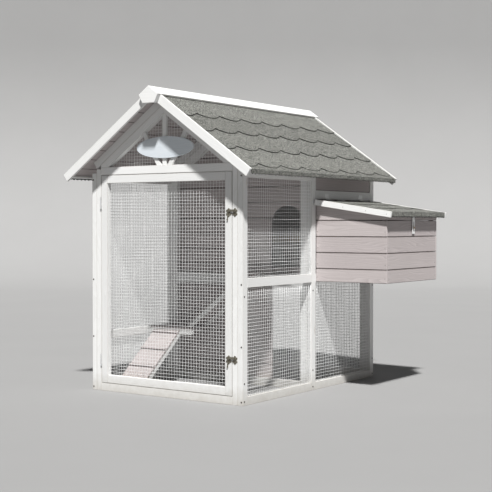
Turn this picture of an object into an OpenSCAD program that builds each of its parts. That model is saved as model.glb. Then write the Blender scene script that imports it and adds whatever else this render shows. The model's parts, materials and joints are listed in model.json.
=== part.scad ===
// Garden chicken coop: a wire-fronted run under a pitched felt roof, with a raised
// timber house across its rear half and a nest box with a lifting lid on the right.
// Inside this file the coop is laid out from the middle of its front face at ground
// level: +X to the right, +Y to the rear, +Z up. placed() then moves every piece so
// that the origin is the centre of the whole coop's footprint.

/* [Body] */
// Width across the outer faces of the corner posts
body_w = 1010; // [990:10:1040]
// Depth from the front face to the rear face of the posts
body_d = 1350; // [1340:5:1360]
// Height of the top face of the raised house floor
floor_z = 636; // [626:2:646]

/* [Timber] */
// Wide face of the frame battens
batten_w = 42; // [40:1:44]
// Narrow face of the frame battens
batten_t = 32; // [28:1:32]
// Cover width of one wall plank
plank_pitch = 87.5; // [80:2.5:95]
// Thickness of the wall planks
plank_t = 12; // [10:1:12]

/* [Roof] */
// Pitch of both slopes in degrees
pitch = 35; // [34:0.5:36]
// Half of the roof span, measured at the tips of the bargeboards
roof_half = 622; // [610:1:630]
// Overhang in front of the posts
front_over = 103; // [90:1:120]
// Overhang behind the posts
rear_over = 75; // [60:1:90]
// Exposed depth of one course of felt shingles on the lid
course = 150; // [140:5:155]
// Width of one scallop along a course
scallop = 200; // [180:10:220]

/* [Run door] */
// Gap between the door and its frame
door_gap = 4; // [3:0.5:5]
// Thickness of the door battens
door_t = 28; // [24:1:28]

/* [Nest box] */
// How far the nest box stands out from the side wall
nest_out = 435; // [400:5:450]
// Height of the underside of the nest box
nest_z = 594; // [590:1:600]
// Fall of the lid in degrees
lid_fall = 8.5; // [8:0.5:9]

/* [Hidden] */
$fn = 48;

// Small clearances: joint lines between timbers, and running gaps of moving parts
seam = 0.4;
plank_seam = 1.6;

// Body
half_w = body_w / 2;
inner_x = half_w - batten_t;
mid_y = 652;
rear_y = body_d - batten_w;
floor_rail_h = 46;
floor_rail_z = floor_z - floor_rail_h;
landing_rail_z = 276;
frame_d = batten_t;
mesh_t = 0.4;

// Roof lines: a point s down the slope and p below the bargeboards' top edge
apex_z = 1178 + roof_half * tan(pitch);
ridge_t = 10;
felt_p = 5;
felt_t = 4;
deck_p = felt_p + felt_t;
deck_t = 10;
rafter_p = deck_p + deck_t + 0.3;
rafter_d = 41;
gable_p = 61;
barge_w = 45;
barge_t = 15;
slope_len = roof_half / cos(pitch);
deck_front = barge_t - front_over;
deck_rear = body_d + rear_over - barge_t;
wall_top = apex_z - (gable_p - 0.5) / cos(pitch) - half_w * tan(pitch) - 0.5;

// Front door and gable
stile_in = inner_x - batten_t;
door_half = stile_in - door_gap;
door_z0 = 44.5;
door_z1 = 1172;
tie_z = 1175;
tie_top = tie_z + batten_w;

// Openings of the house front wall
arch_r = 107;
arch_x = inner_x - batten_w - arch_r;
arch_top = 1014;
passage_x = 220;
sill_top = floor_z - 9;
sill_h = 62;
wall_y = mid_y + frame_d + seam;

// Nest box
hinge_rail_z = 1046;
hinge_rail_h = 48;
nest_y0 = mid_y + batten_w + 2;
nest_y1 = 1298;
nest_x1 = half_w + nest_out;
nest_t = 14;
lid_top_z = 1045;
lid_x0 = half_w + 8.5;
lid_x1 = nest_x1 + 40;
lid_y0 = 668;
lid_y1 = 1345;
lid_t = 12;
lid_felt_t = 4;
trim_t = 14;
trim_d = 32;

// Hinges and latches
knuckle_r = 4;
door_axis = [-stile_in + door_gap / 2, -knuckle_r - 0.6];
rear_axis = [-(inner_x - batten_w) + door_gap / 2, body_d + knuckle_r + 0.6];
lid_axis = [half_w + 4.5, hinge_rail_z + 3];
hinge_len = 65;
hinge_zs = [168, 1023];
rear_hinge_zs = [760, 1080];
latch_zs = [970, 230];
rear_latch_z = 920;
rear_door_z0 = 673;
hasp_axis = [nest_x1 + 5, 956];
hasp_y = 997;

// Origin of the packed part: centre of the footprint
ridge_block_t = 24;
origin_x = (lid_x1 - roof_half) / 2;
origin_y = (body_d + rear_over - front_over) / 2;

white = "#e9e6e2";
taupe = "#b3a5a0";
felt = "#8d8e8a";
zinc = "#b9bdbf";
bronze = "#6d6757";

// ---------------------------------------------------------------- helpers

module placed() translate([-origin_x, -origin_y, 0]) children();

// Box between two opposite corners
module block(a, b) translate(a) cube(b - a);

// The same pieces on both sides of the coop's middle plane
module both_sides() {
    children();
    mirror([1, 0, 0]) children();
}

// Outline given in the X-Z plane, extruded from y0 to y1
module across(y0, y1) translate([0, y1, 0]) rotate([90, 0, 0]) linear_extrude(y1 - y0) children();

// Point on the right-hand slope
function on_roof(s, p) = [s * cos(pitch) - p * sin(pitch), apex_z - s * sin(pitch) - p * cos(pitch)];

// Height of the line p below the bargeboards' top edge, at distance x from the middle
function roof_z(x, p) = apex_z - p / cos(pitch) - x * tan(pitch);

// Strip of the right-hand slope between s0..s1 and p0..p1, mitred at the ridge if s0 is 0
module roof_strip(s0, s1, p0, p1, y0, y1) across(y0, y1)
    polygon(s0 > 0
        ? [on_roof(s0, p0), on_roof(s1, p0), on_roof(s1, p1), on_roof(s0, p1)]
        : [[0.2, roof_z(0.2, p0)], on_roof(s1, p0), on_roof(s1, p1), [0.2, roof_z(0.2, p1)]]);

// Region under the line p of both slopes
module under_roof(p) polygon([[-half_w, 0], [half_w, 0], [half_w, roof_z(half_w, p)],
    [0, roof_z(0, p)], [-half_w, roof_z(half_w, p)]]);

// Rising row of plank outlines between x0..x1; first is the height of the lowest seam
module plank_outlines(x0, x1, z0, z1, first) {
    count = ceil((z1 - first) / plank_pitch);
    for (i = [0:count]) {
        low = i == 0 ? z0 : first + (i - 1) * plank_pitch + plank_seam;
        high = min(first + i * plank_pitch, z1);
        if (high > low + 4) translate([x0, low]) square([x1 - x0, high - low]);
    }
}

// Flat wire panel, modelled as a thin sheet
module mesh_panel(a, b) color(zinc) block(a, b);

// Domed screw head on a face whose outward direction is given as a rotation
module screw_head(at, turn) translate(at) rotate(turn) {
    cylinder(h = 1.2, r = 4.2);
    translate([0, 0, 1.2]) cylinder(h = 0.8, r1 = 4.2, r2 = 2.6);
}

// ---------------------------------------------------------------- wall frames

module side_posts() {
    for (y = [0, mid_y, rear_y])
        block([inner_x, y, 0], [half_w, y + batten_w, wall_top]);
}

module side_rail(y0, y1, z, h) block([inner_x, y0 + seam, z], [half_w, y1 - seam, z + h]);

module side_base_rails() {
    side_rail(batten_w, mid_y, 0, batten_w);
    side_rail(mid_y + batten_w, rear_y, 0, batten_w);
    side_rail(batten_w, mid_y, wall_top - batten_w, batten_w);
}

module left_wall_frame() color(white) placed() mirror([1, 0, 0]) {
    side_posts();
    side_base_rails();
    side_rail(batten_w, mid_y, landing_rail_z, batten_w);
    side_rail(mid_y + batten_w, rear_y, floor_rail_z, floor_rail_h);
}

module right_wall_frame() color(white) placed() {
    side_posts();
    side_base_rails();
    side_rail(batten_w, mid_y, floor_rail_z, floor_rail_h);
    side_rail(mid_y + batten_w, rear_y, floor_rail_z, floor_rail_h);
    side_rail(mid_y + batten_w, rear_y, hinge_rail_z, hinge_rail_h);
    // Upright between the two nest openings
    block([inner_x, hasp_y - batten_w / 2, floor_z + seam],
        [half_w, hasp_y + batten_w / 2, hinge_rail_z - seam]);
}

module front_frame() color(white) placed() {
    both_sides() block([stile_in, 0, 0], [inner_x - seam, batten_w, stile_top]);
    block([-stile_in + seam, 0, 0], [stile_in - seam, frame_d, batten_w]);
    block([-stile_in + seam, 0, tie_z], [stile_in - seam, frame_d, tie_top]);
}

// Height of the stiles that stand just inside the corner posts
stile_top = roof_z(inner_x, gable_p) - 1;

// Sloping rafters of one gable, standing on the tie rail
module gable_rafters(y, foot_x) both_sides() across(y, y + frame_d) intersection() {
    polygon([[0.2, roof_z(0.2, gable_p)], [foot_x, roof_z(foot_x, gable_p)],
        [foot_x, roof_z(foot_x, gable_p + batten_w)], [0.2, roof_z(0.2, gable_p + batten_w)]]);
    translate([0, tie_top + seam]) square([foot_x, 600]);
}

module front_gable_frame() color(white) placed() gable_rafters(0, stile_in);

// Three struts that fan out from the middle of the tie rail
module gable_struts() color(white) placed() {
    strut_w = 28;
    strut_t = 14;
    rafter_edge = gable_p + batten_w + 0.5;
    across(4, 4 + strut_t) intersection() {
        translate([0, -0.6]) under_roof(rafter_edge);
        translate([-strut_w / 2, tie_top + seam]) square([strut_w, 400]);
    }
    both_sides() across(4, 4 + strut_t) intersection() {
        under_roof(rafter_edge);
        translate([0, tie_top + seam]) square([400, 400]);
        translate([36, tie_top]) rotate(-31) translate([-strut_w / 2, -20]) square([strut_w, 400]);
    }
}

module gable_mesh() color(zinc) placed() across(frame_d + 0.3, frame_d + 0.3 + mesh_t) intersection() {
    under_roof(gable_p + 20);
    translate([-stile_in + 6, tie_z + 20]) square([2 * stile_in - 12, 600]);
}

// Blank oval sign board on the struts
module name_plaque() color("#b8c6cc") placed()
    translate([8, 3.6, 1310]) rotate([90, 0, 0]) scale([1, 57 / 190, 1]) cylinder(h = 8, r = 190, $fn = 96);

// Two stiles, three rails and the gable rafters of a house end wall
module house_frame(y, rail_z, rail_top) {
    both_sides() block([inner_x - batten_w, y, 0], [inner_x - seam, y + frame_d, stile_top]);
    rail_x = inner_x - batten_w - seam;
    block([-rail_x, y, 0], [rail_x, y + frame_d, batten_w]);
    block([-rail_x, y, rail_z], [rail_x, y + frame_d, rail_top]);
    block([-rail_x, y, tie_z], [rail_x, y + frame_d, tie_top]);
    gable_rafters(y, inner_x - batten_w);
}

module partition_frame() color(white) placed() house_frame(mid_y, sill_top - sill_h, sill_top);

module rear_wall_frame() color(white) placed() house_frame(body_d - frame_d, floor_rail_z, floor_z);

// ---------------------------------------------------------------- wire panels

mesh_x = half_w - 8;

module side_mesh(y0, y1, z0, z1) placed()
    mesh_panel([mesh_x - mesh_t, y0 + 1, z0 + 1], [mesh_x, y1 - 1, z1 - 1]);

module mirrored_side_mesh(y0, y1, z0, z1) placed() mirror([1, 0, 0])
    mesh_panel([mesh_x - mesh_t, y0 + 1, z0 + 1], [mesh_x, y1 - 1, z1 - 1]);

bay_top = wall_top - batten_w;

module left_upper_mesh() mirrored_side_mesh(batten_w, mid_y, landing_rail_z + batten_w, bay_top);
module left_lower_mesh() mirrored_side_mesh(batten_w, mid_y, batten_w, landing_rail_z);
module left_rear_mesh() mirrored_side_mesh(mid_y + batten_w, rear_y, batten_w, floor_rail_z);
module right_upper_mesh() side_mesh(batten_w, mid_y, floor_z, bay_top);
module right_lower_mesh() side_mesh(batten_w, mid_y, batten_w, floor_rail_z);
module right_rear_mesh() side_mesh(mid_y + batten_w, rear_y, batten_w, floor_rail_z);

module rear_lower_mesh() placed() {
    x = inner_x - batten_w - 1;
    mesh_panel([-x, body_d - 9, batten_w + 1], [x, body_d - 9 + mesh_t, floor_rail_z - 1]);
}

// ---------------------------------------------------------------- house walls and floor

// Round-topped pop hole
module pop_hole() {
    translate([arch_x, arch_top - arch_r]) circle(arch_r, $fn = 64);
    translate([arch_x - arch_r, floor_z - 60]) square([2 * arch_r, arch_top - arch_r - floor_z + 60]);
}

module pop_hole_wall() color(taupe) placed() across(wall_y, wall_y + plank_t) difference() {
    intersection() {
        plank_outlines(-inner_x + 1, inner_x - 1, floor_rail_z + seam, apex_z, floor_z + plank_pitch / 2);
        under_roof(rafter_p + 1);
    }
    pop_hole();
}

module lower_partition_planks() color(taupe) placed() across(wall_y, wall_y + plank_t)
    plank_outlines(-inner_x + 1, passage_x, 6, floor_rail_z - plank_seam, 119);

module house_left_wall() color(taupe) placed() mirror([1, 0, 0]) house_side_planks(floor_z);

module house_right_wall() color(taupe) placed() house_side_planks(hinge_rail_z + hinge_rail_h);

// Planks of a house side wall, let in between the posts above z0
module house_side_planks(z0) {
    top = wall_top;
    count = ceil((top - z0) / plank_pitch);
    for (i = [0:count - 1]) {
        low = z0 + i * plank_pitch + (i == 0 ? seam : plank_seam);
        high = min(z0 + (i + 1) * plank_pitch, top);
        block([half_w - 5 - plank_t, mid_y + batten_w + seam, low], [half_w - 5, rear_y - seam, high]);
    }
}

module rear_gable_planks() color(taupe) placed() across(body_d - frame_d - seam - plank_t, body_d - frame_d - seam)
    intersection() {
        plank_outlines(-inner_x + 1, inner_x - 1, tie_z + 4, apex_z, tie_z + plank_pitch);
        under_roof(rafter_p + 1);
    }

module house_floor() color(taupe) placed() {
    board_w = (2 * inner_x - 4) / 5;
    for (i = [0:4])
        block([-inner_x + 2 + i * board_w + seam, wall_y + plank_t + 1, floor_z - plank_t],
            [-inner_x + 2 + (i + 1) * board_w - seam, body_d - frame_d - 1, floor_z]);
}

module floor_bearers() color(white) placed()
    for (y = [mid_y + 60, 985, rear_y - 70])
        block([-inner_x + seam, y, floor_z - plank_t - batten_w], [inner_x - seam, y + batten_t, floor_z - plank_t]);

// Round-edged roosting bar from the left wall to the upright between the nests
perch_z = 800;
perch_h = 40;
perch_w = 36;
perch_end = half_w - 5 - plank_t;

module perch() color("#cbb79a") placed() translate([-perch_end + 1, hasp_y, perch_z])
    rotate([90, 0, 90]) linear_extrude(perch_end + inner_x - 2) union() {
        translate([-perch_w / 2, 0]) square([perch_w, perch_h - 10]);
        translate([-perch_w / 2 + 10, 0]) square([perch_w - 20, perch_h]);
        for (x = [-1, 1]) translate([x * (perch_w / 2 - 10), perch_h - 10]) circle(10, $fn = 24);
    }

module perch_brackets() color(white) placed() {
    depth = 40;
    for (x0 = [-perch_end + 0.5, inner_x - depth - 0.5]) {
        block([x0, hasp_y - 30, perch_z - 20], [x0 + depth, hasp_y + 30, perch_z - seam]);
        for (y = [hasp_y - 30, hasp_y + perch_w / 2 + 1])
            block([x0, y, perch_z], [x0 + depth, y + 11, perch_z + 24]);
    }
}

// Droppings tray that slides out to the rear, under the cleaning door
tray_half = 425;
tray_y0 = wall_y + plank_t + 8;
tray_y1 = body_d - 2;
tray_z = floor_z + 1;
sheet_t = 0.8;

module tray_base() color(zinc) placed()
    block([-tray_half, tray_y0, tray_z], [tray_half, tray_y1 - 18, tray_z + sheet_t]);

module tray_rim() color(taupe) placed() {
    low = tray_z + sheet_t + 0.2;
    top = tray_z + 30;
    both_sides() block([tray_half - 12, tray_y0, low], [tray_half, tray_y1 - 18 - seam, top]);
    block([-tray_half + 12 + seam, tray_y0, low], [tray_half - 12 - seam, tray_y0 + 12, top]);
    block([-tray_half, tray_y1 - 18, tray_z], [tray_half, tray_y1, tray_z + 34]);
    // Turned pull knob
    translate([0, tray_y1 + 0.2, tray_z + 17]) rotate([-90, 0, 0]) {
        cylinder(h = 10, r = 6);
        translate([0, 0, 10]) cylinder(h = 10, r = 12);
    }
}

// ---------------------------------------------------------------- nest box

function lid_z(x) = lid_top_z - (x - half_w) * tan(lid_fall);

// Region of the nest walls under the lid, in the X-Z plane
nest_roof_gap = (lid_t + lid_felt_t + 1.5) / cos(lid_fall);

module nest_end_walls() color(taupe) placed()
    for (y = [nest_y0, nest_y1 - nest_t]) across(y, y + nest_t) intersection() {
        plank_outlines(half_w + 0.3, nest_x1, nest_z, lid_top_z, nest_z + 71);
        polygon([[half_w, 0], [nest_x1, 0], [nest_x1, lid_z(nest_x1) - nest_roof_gap],
            [half_w, lid_z(half_w) - nest_roof_gap]]);
    }

// Planks held between the ends of the two end walls
module nest_outer_wall() color(taupe) placed() {
    top = lid_z(nest_x1) - nest_roof_gap;
    for (i = [0:4]) {
        low = i == 0 ? nest_z : nest_z + 71 + (i - 1) * plank_pitch + plank_seam;
        high = min(nest_z + 71 + i * plank_pitch, top);
        block([nest_x1 - nest_t, nest_y0 + nest_t + seam, low], [nest_x1, nest_y1 - nest_t - seam, high]);
    }
}

module nest_floor() color(taupe) placed() {
    board_w = (nest_out - nest_t - 1) / 4;
    for (i = [0:3])
        block([half_w + 0.5 + i * board_w + seam, nest_y0 + nest_t + seam, nest_z],
            [half_w + 0.5 + (i + 1) * board_w - seam, nest_y1 - nest_t - seam, nest_z + plank_t]);
}

module nest_divider() color(taupe) placed() {
    height = 250;
    for (i = [0:1])
        block([half_w + 1, hasp_y - plank_t / 2, nest_z + plank_t + seam + i * height / 2 + i * plank_seam],
            [nest_x1 - nest_t - 1, hasp_y + plank_t / 2, nest_z + plank_t + seam + (i + 1) * height / 2]);
}

module nest_corner_battens() color(white) placed() {
    side = 20;
    for (x = [half_w + 0.5, nest_x1 - nest_t - side - seam])
        for (y = [nest_y0 + nest_t + seam, nest_y1 - nest_t - side - seam])
            block([x, y, nest_z + plank_t + seam], [x + side, y + side, lid_z(x + side) - nest_roof_gap - 4]);
}

// Moves pieces drawn on a level lid, whose top is at 0, onto the sloping one
module on_lid() placed() translate([half_w, 0, lid_top_z]) rotate([0, lid_fall, 0]) children();

lid_s0 = (lid_x0 - half_w) / cos(lid_fall);
lid_s1 = (lid_x1 - half_w) / cos(lid_fall) - 10.2;

module lid_boards() color(taupe) on_lid() {
    board_w = (lid_s1 - lid_s0) / 5;
    for (i = [0:4])
        block([lid_s0 + i * board_w + seam, lid_y0 + trim_t + seam, -lid_felt_t - lid_t],
            [lid_s0 + (i + 1) * board_w - seam, lid_y1 - trim_t - seam, -lid_felt_t - 0.2]);
}

// Trims along both ends of the lid, which start clear of the house wall
module lid_trim() color(white) on_lid()
    for (y = [lid_y0, lid_y1 - trim_t])
        block([lid_s0 + 1, y, -trim_d], [lid_s1 + 10, y + trim_t, 0]);

// Felt shingles on the lid, in three scalloped courses
module lid_felt() color(felt) on_lid() translate([0, 0, -lid_felt_t]) scalloped_courses(
    lid_s0, lid_s1 + 5, [for (k = [1, 2]) lid_s0 + k * course], lid_y0 + trim_t + 0.5, lid_y1 - trim_t - 0.5,
    lid_felt_t - 0.6);

// ---------------------------------------------------------------- roof

// Downward bulges of one course: arcs of the given depth between cusps on the line s
scallop_drop = 34;
scallop_r = (pow(scallop / 2, 2) + pow(scallop_drop, 2)) / (2 * scallop_drop);

module scalloped_area(s0, s, y0, y1) intersection() {
    translate([s0, y0]) square([s - s0 + scallop_drop, y1 - y0]);
    union() {
        translate([s0, y0]) square([s - s0, y1 - y0]);
        for (y = [40 - 2 * scallop:scallop:y1 + scallop])
            translate([s + scallop_drop - scallop_r, y - scallop / 2]) circle(scallop_r, $fn = 96);
    }
}

// Courses of scalloped shingles between s0 and s1; cusps is the list of cusp lines
module scalloped_courses(s0, s1, cusps, y0, y1, thickness) {
    count = len(cusps);
    for (k = [0:count]) linear_extrude(thickness) difference() {
        if (k < count) scalloped_area(s0, cusps[k], y0, y1);
        else translate([s0, y0]) square([s1 - s0, y1 - y0]);
        if (k > 0) scalloped_area(s0 - 5, cusps[k - 1] + plank_seam, y0 - 1, y1 + 1);
    }
}

// Moves pieces drawn flat, with their top at 0, onto the right-hand slope
module on_right_slope() translate([0, 0, apex_z]) rotate([0, pitch, 0]) children();

felt_s0 = 12;
felt_s1 = slope_len + 2;
// Cusp lines of the roof's courses, down the slope from the apex; they were laid by eye
felt_cusps = [225, 373, 537, 697];

module right_felt_shape() on_right_slope() translate([0, 0, -felt_p - felt_t + 0.1]) scalloped_courses(
    felt_s0, felt_s1, felt_cusps, deck_front + 0.5, deck_rear - 0.5, felt_t - 0.3);

module right_felt() color(felt) placed() right_felt_shape();

module left_felt() color(felt) placed() mirror([1, 0, 0]) right_felt_shape();

module roof_boards() color(taupe) placed() both_sides() {
    count = 9;
    top_s = 14;
    board_w = (slope_len - 2 - top_s) / count;
    for (i = [0:count - 1])
        roof_strip(top_s + i * board_w + seam, top_s + (i + 1) * board_w - seam,
            deck_p, deck_p + deck_t, deck_front, deck_rear);
}

module roof_rafters() color(white) placed() both_sides()
    for (y = [0, mid_y, body_d - frame_d])
        roof_strip(0, half_w / cos(pitch), rafter_p, rafter_p + rafter_d, y, y + frame_d);

module eave_battens() color(white) placed() both_sides()
    roof_strip(slope_len - 24, slope_len - 10, rafter_p, rafter_p + 12, deck_front, deck_rear);

cap_w = 74;

// Bargeboards, notched under the ridge cap
module bargeboards() color(white) placed() both_sides()
    for (y = [-front_over, deck_rear + seam]) across(y, y + barge_t - seam)
        polygon([[0.2, roof_z(0.2, felt_p + 0.8)], on_roof(cap_w + 1, felt_p + 0.8), on_roof(cap_w + 1, 0),
            on_roof(slope_len, 0), on_roof(slope_len, barge_w), [0.2, roof_z(0.2, barge_w)]]);

module ridge_cap() color(white) placed() both_sides()
    across(-front_over, body_d + rear_over)
        polygon([[0.2, roof_z(0.2, felt_p - ridge_t)], on_roof(cap_w, felt_p - ridge_t), on_roof(cap_w, felt_p),
            [0.2, roof_z(0.2, felt_p)]]);

// Five-sided blocks that close the ends of the ridge
module ridge_end_blocks() color(white) placed() {
    top = roof_z(0, felt_p - ridge_t);
    corner = on_roof(cap_w, felt_p - ridge_t);
    outline = [[0, top], corner, [corner[0] - 24, corner[1] - 44.5], [24 - corner[0], corner[1] - 44.5],
        [-corner[0], corner[1]]];
    across(-front_over - ridge_block_t, -front_over - seam) polygon(outline);
    across(body_d + rear_over + seam, body_d + rear_over + ridge_block_t) polygon(outline);
}

// ---------------------------------------------------------------- landing and ramps

landing_z = landing_rail_z + batten_w;
landing_x1 = -166;
landing_y0 = 454;
landing_t = 10;
bearer_h = 28;

module landing_boards() color(taupe) placed() {
    depth = (mid_y - landing_y0) / 2;
    for (i = [0:1])
        block([-inner_x + 1, landing_y0 + i * depth + seam, landing_z - landing_t],
            [landing_x1 - 6, landing_y0 + (i + 1) * depth - seam, landing_z]);
}

// Front bearer with a rounded end, and rear bearer against the house
module landing_bearers() color(white) placed() {
    top = landing_z - landing_t - seam;
    across(landing_y0, landing_y0 + 18) union() {
        translate([-inner_x + 1, top - bearer_h]) square([inner_x - 1 + landing_x1 - bearer_h / 2, bearer_h]);
        translate([landing_x1 - bearer_h / 2, top - bearer_h / 2]) circle(bearer_h / 2, $fn = 32);
    }
    block([-inner_x + 1, mid_y - 18.5, top - bearer_h], [landing_x1 - 74, mid_y - 0.5, top]);
}

// Ramp rising along +Y in its own frame: tread board on two side battens, with cleats
// that start at first
module ramp(length, width, first, cleat_pitch) {
    batten = 18;
    depth = 20;
    board = 10;
    color(taupe) block([0, 0, depth + seam], [width, length, depth + board]);
    color(white) for (x = [0, width - batten]) block([x, 0, 0], [x + batten, length, depth]);
    color(taupe) for (y = [first:cleat_pitch:length - 26])
        block([4, y, depth + board + 0.3], [width - 4, y + 16, depth + board + 8]);
}

lower_angle = 40.2;
lower_w = 186;
lower_foot = [-442, 142, 1];
upper_angle = 38.5;

// Cut level where it stands on the ground and plumb where it meets the landing's bearer
module lower_ramp() placed() intersection() {
    translate(lower_foot) rotate([lower_angle, 0, 0]) translate([0, -40, 0]) ramp(490, lower_w, 176.5, 133);
    block([lower_foot[0] - 1, 0, lower_foot[2]], [lower_foot[0] + lower_w + 1, landing_y0 - 0.5, landing_z]);
}

module upper_ramp() placed() translate([-192, mid_y - 2, landing_z + 1])
    rotate([0, 0, -90]) rotate([upper_angle, 0, 0]) ramp(480, 180, 70, 120);

// ---------------------------------------------------------------- run door

module door_frame() color(white) placed() {
    both_sides() block([door_half - batten_w, 0, door_z0], [door_half, door_t, door_z1]);
    rail_x = door_half - batten_w - seam;
    block([-rail_x, 0, door_z0], [rail_x, door_t, door_z0 + batten_w]);
    block([-rail_x, 0, door_z1 - batten_w], [rail_x, door_t, door_z1]);
}

module door_mesh() placed() {
    x = door_half - 18;
    mesh_panel([-x, door_t + 0.3, door_z0 + 18], [x, door_t + 0.3 + mesh_t, door_z1 - 18]);
}

// Butt hinge standing along +Z, its pin at the origin; the leaf lies towards +Y.
// side is 1 for the leaf at +X of the pin and -1 for the other one.
module hinge_leaf(side, length, leaf_w, knuckles, gap) {
    pitch_z = length / 5;
    leaf_t = 1;
    for (k = knuckles) translate([0, 0, -length / 2 + k * pitch_z + 0.25]) difference() {
        cylinder(h = pitch_z - 0.5, r = knuckle_r - 0.2);
        if (side > 0) translate([0, 0, -1]) cylinder(h = pitch_z + 2, r = 1.9);
    }
    for (k = knuckles) {
        x = side > 0 ? gap / 2 - leaf_t - 0.1 : -gap / 2 + 0.1;
        translate([x, knuckle_r - 1.6, -length / 2 + k * pitch_z + 0.25]) cube([leaf_t, leaf_w, pitch_z - 0.5]);
    }
    if (side < 0) translate([0, 0, -length / 2 - 1.5]) cylinder(h = length + 3, r = 1.8);
    translate([side > 0 ? gap / 2 - leaf_t - 0.1 : -gap / 2 + 0.1, knuckle_r + 1, -length / 2 + 0.25])
        cube([leaf_t, leaf_w - 2.6, length - 0.5]);
}

// Hook latch, seen from the front with the door to its left: the door plate's pivot
// stud, the frame plate's catch stud, and the hook that drops over it
latch_pivot = [419, 6];
latch_catch = [457, 2];
catch_reach = norm(latch_catch - latch_pivot);

// Ornate plate with six lobes around a disc, and the heads of its two screws
module latch_plate(x0, x1) {
    centre_x = (x0 + x1) / 2;
    centre_z = -3;
    side_lobe = 5.5;
    end_lobe = 6.5;
    lobe_x = (x1 - x0) / 2 - side_lobe;
    across(-2, -0.2) translate([centre_x, centre_z]) union() {
        circle(10.5, $fn = 48);
        for (z = [-15, 15]) translate([0, z]) circle(end_lobe, $fn = 32);
        for (x = [-lobe_x, lobe_x]) for (z = [-8.5, 8.5]) translate([x, z]) circle(side_lobe, $fn = 32);
    }
    for (z = [-16, 16]) translate([centre_x, -2.4, centre_z + z]) rotate([-90, 0, 0]) cylinder(h = 0.8, r = 2.6);
}

module door_latch_plate() {
    latch_plate(402, door_half - 1);
    translate([latch_pivot[0], -8, latch_pivot[1]]) rotate([-90, 0, 0]) cylinder(h = 6.5, r = 2.8);
}

module frame_latch_plate() {
    latch_plate(stile_in + 1, inner_x - 1);
    translate([latch_catch[0], -8, latch_catch[1]]) rotate([-90, 0, 0]) cylinder(h = 6.5, r = 3);
}

module latch_hook() across(-6.7, -2.8) difference() {
    union() {
        translate(latch_pivot) circle(8, $fn = 32);
        translate([latch_pivot[0], latch_pivot[1] - 5]) square([latch_catch[0] - latch_pivot[0] + 3, 11]);
        translate([latch_catch[0], latch_pivot[1] - 2]) circle(8, $fn = 32);
        translate(latch_pivot) rotate(262) translate([0, -2.6]) square([46, 5.2]);
        translate(latch_pivot) rotate(262) translate([46, 0]) circle(4.2, $fn = 24);
    }
    translate(latch_pivot) circle(3.1, $fn = 32);
    translate(latch_catch) circle(3.6, $fn = 32);
    // Notch along the arc that the catch stud follows as the hook lifts
    intersection() {
        translate(latch_pivot) difference() {
            circle(catch_reach + 3.6, $fn = 96);
            circle(catch_reach - 3.6, $fn = 96);
        }
        translate([latch_pivot[0] + 20, latch_catch[1] - 30]) square([30, 30]);
    }
}

// Hinge leaves, plates of the latches and their screws on the door
module door_hardware() color(zinc) placed() {
    for (z = hinge_zs) translate([door_axis[0], door_axis[1], z])
        hinge_leaf(1, hinge_len, 26, [1, 3], door_gap);
    color(bronze) for (z = latch_zs) translate([0, 0, z]) door_latch_plate();
}

// The same pieces on the frame: front door, cleaning door, and the screw heads of the posts
module frame_hardware() placed() {
    color(zinc) {
        for (z = hinge_zs) translate([door_axis[0], door_axis[1], z])
            hinge_leaf(-1, hinge_len, 26, [0, 2, 4], door_gap);
        for (z = rear_hinge_zs) translate([rear_axis[0], rear_axis[1], z]) mirror([0, 1, 0])
            hinge_leaf(-1, hinge_len, 20, [0, 2, 4], door_gap);
    }
    color(bronze) {
        for (z = latch_zs) translate([0, 0, z]) frame_latch_plate();
        on_rear_latch() frame_latch_plate();
    }
    color(zinc) both_sides() {
        for (z = [18, 294, 606, 1150]) screw_head([half_w - 9, -0.1, z], [90, 0, 0]);
        for (y = [13, mid_y + 13, body_d - 13]) for (z = [20, 110, 546])
            screw_head([half_w + 0.1, y, z], [0, 90, 0]);
    }
}

module upper_latch_hook() color(bronze) placed() translate([0, 0, latch_zs[0]]) latch_hook();
module lower_latch_hook() color(bronze) placed() translate([0, 0, latch_zs[1]]) latch_hook();

// ---------------------------------------------------------------- cleaning door

rear_door_half = inner_x - batten_w - door_gap;

// The latch parts, moved from the front door's edge to the cleaning door's on the rear face
module on_rear_latch() translate([rear_door_half - door_half, body_d, rear_latch_z]) mirror([0, 1, 0]) children();

module rear_door() placed() {
    color(taupe) across(body_d - plank_t, body_d)
        plank_outlines(-rear_door_half, rear_door_half, rear_door_z0, door_z1, rear_door_z0 + plank_pitch);
    color(white) both_sides() block([rear_door_half - 60, body_d - frame_d, rear_door_z0 + 6],
        [rear_door_half - 60 + batten_w, body_d - plank_t - seam, door_z1 - 6]);
    color(zinc) for (z = rear_hinge_zs) translate([rear_axis[0], rear_axis[1], z]) mirror([0, 1, 0])
        hinge_leaf(1, hinge_len, 14, [1, 3], door_gap);
    color(bronze) on_rear_latch() door_latch_plate();
}

module rear_latch_hook() color(bronze) placed() on_rear_latch() latch_hook();

// ---------------------------------------------------------------- lid fittings

lid_hinge_ys = [808, 1188];
lid_hinge_len = 44;

// Leaf on the lid, with its knuckles
module lid_hinge_leaves() color(zinc) placed() for (y = lid_hinge_ys) translate([lid_axis[0], y, lid_axis[1]]) {
    segment = lid_hinge_len / 5;
    for (k = [1, 3]) {
        translate([0, -lid_hinge_len / 2 + k * segment + 0.25, 0]) rotate([-90, 0, 0]) difference() {
            cylinder(h = segment - 0.5, r = 3.4);
            translate([0, 0, -1]) cylinder(h = segment + 2, r = 1.6);
        }
        translate([0, -lid_hinge_len / 2 + k * segment + 0.25, 0]) rotate([0, lid_fall, 0])
            translate([0, 0, -5]) cube([8, segment - 0.5, 1.9]);
    }
    rotate([0, lid_fall, 0]) translate([6, -lid_hinge_len / 2, -5]) cube([26, lid_hinge_len, 1.2]);
}

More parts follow.
